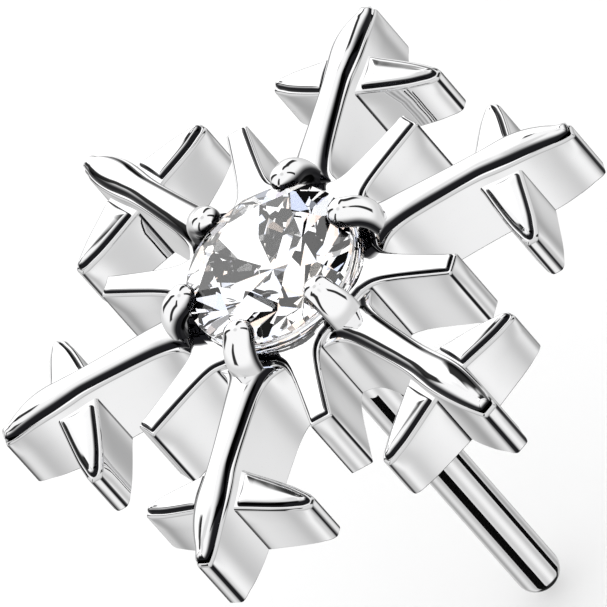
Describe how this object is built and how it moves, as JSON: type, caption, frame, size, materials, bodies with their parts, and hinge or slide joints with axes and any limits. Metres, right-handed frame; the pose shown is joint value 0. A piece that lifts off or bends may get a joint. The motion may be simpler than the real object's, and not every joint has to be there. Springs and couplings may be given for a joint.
{
  "type": "snowflake jewellery top",
  "caption": "Snowflake-shaped body jewellery top with branched arms, short spikes, a claw-set round stone and a straight push-in pin on its flat back.",
  "frame": {"origin": "the push pin's axis at the flat back face", "axes": "+Z out of the snowflake's face, the pin runs along -Z, +X along the first long arm"},
  "size_m": [0.008, 0.007, 0.0075],
  "materials": {
    "frame_metal": "mirror-polished steel",
    "seat_metal": "turned and polished steel",
    "claw_metal": "mirror-polished steel wire",
    "stone": "clear faceted stone, polished",
    "pin_metal": "drawn and polished steel wire"
  },
  "bodies": {
    "root": {"snowflake_frame": "frame_metal", "stone_seat": "seat_metal", "claw_1": "claw_metal", "claw_2": "claw_metal", "claw_3": "claw_metal", "claw_4": "claw_metal", "claw_5": "claw_metal", "claw_6": "claw_metal", "stone": "stone", "push_pin": "pin_metal"}
  },
  "joints": []
}
